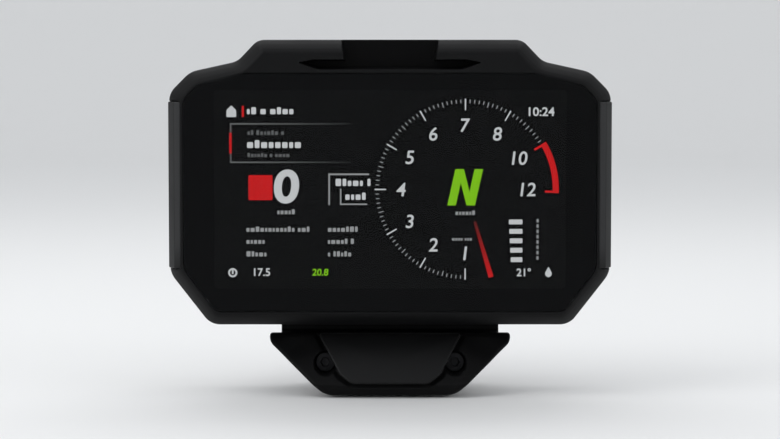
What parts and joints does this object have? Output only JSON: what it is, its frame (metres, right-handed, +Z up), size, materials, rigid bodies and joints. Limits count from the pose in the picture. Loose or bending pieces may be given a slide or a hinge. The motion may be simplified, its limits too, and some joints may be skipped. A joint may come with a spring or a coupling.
{
  "type": "motorcycle instrument cluster",
  "caption": "Sealed colour-screen instrument cluster with a chamfered face and raised crown, tilting on a rubber-mounted bracket with a cover below the screen.",
  "frame": {"origin": "centre of the four mounting bolts, on the flat faces of their sleeves", "axes": "+X to the rider's right, +Y forward away from the rider, +Z up the screen; on the motorcycle the whole part leans back about 30 degrees"},
  "size_m": [0.183, 0.062, 0.1475],
  "materials": {
    "lens_glass": "clear, hard coated, glossy",
    "case_plastic": "fine satin grain, black",
    "trim_plastic": "smooth satin, dark grey",
    "cover_plastic": "fine matt grain, black",
    "panel_plastic": "smooth satin, charcoal",
    "sealing_foam": "matt black",
    "screen_glass": "black when unlit",
    "film": "clear film",
    "diffuser": "milky",
    "acrylic": "clear",
    "white_plastic": "matt white",
    "tray_steel": "plain sheet",
    "board": "green solder mask",
    "chip": "matt black moulding",
    "polyimide": "amber film",
    "gap_filler": "soft, matt",
    "plain_steel": "zinc plated",
    "black_steel": "black zinc plated",
    "cast_black": "die cast, black powder coat",
    "can_metal": "plain",
    "contact_metal": "tin and gold plated",
    "nylon": "natural nylon",
    "friction_disc": "filled nylon, matt",
    "mount_rubber": "matt black"
  },
  "bodies": {
    "support": {"support_bracket": "cast_black", "pivot_bush_left": "nylon", "pivot_bush_right": "nylon", "grommet_top_left": "mount_rubber", "grommet_top_right": "mount_rubber", "grommet_bottom_left": "mount_rubber", "grommet_bottom_right": "mount_rubber", "mount_sleeves": "plain_steel", "lower_cover": "cover_plastic", "lower_panel": "panel_plastic", "cover_screws": "black_steel"},
    "display": {"cover_lens": "lens_glass", "lens_seal": "sealing_foam", "polariser_film": "film", "front_frame": "case_plastic", "side_trim_left": "trim_plastic", "side_trim_right": "trim_plastic", "lcd_panel": "screen_glass", "diffuser_sheet": "diffuser", "light_guide": "acrylic", "reflector_sheet": "white_plastic", "led_strip": "board", "backlight_tray": "tray_steel", "display_cable": "polyimide", "telltale_guide_left": "white_plastic", "telltale_guide_right": "white_plastic", "telltale_leds": "white_plastic", "light_pipe": "acrylic", "light_sensor": "chip", "main_board": "board", "cable_socket": "nylon", "processor": "chip", "memory_chips": "chip", "power_coils": "chip", "capacitors": "can_metal", "radio_module": "plain_steel", "shield_can": "plain_steel", "thermal_pad": "gap_filler", "board_screws": "plain_steel", "housing_seal": "sealing_foam", "rear_housing": "cast_black", "housing_screws": "black_steel", "header_connector": "chip", "header_pins": "contact_metal", "header_seal": "sealing_foam", "vent_plug": "chip", "vent_membrane": "white_plastic", "tilt_arm_left": "cast_black", "tilt_arm_right": "cast_black", "arm_screws": "black_steel", "pivot_bolt_left": "plain_steel", "pivot_bolt_right": "plain_steel", "friction_washer_left": "friction_disc", "friction_washer_right": "friction_disc", "spring_washer_left": "plain_steel", "spring_washer_right": "plain_steel"}
  },
  "joints": [
    {"name": "display_tilt", "type": "hinge", "parent": "support", "child": "display", "pos_m": [0, -0.027, 0], "axis": [1, 0, 0], "range_deg": [-10, 5]}
  ]
}
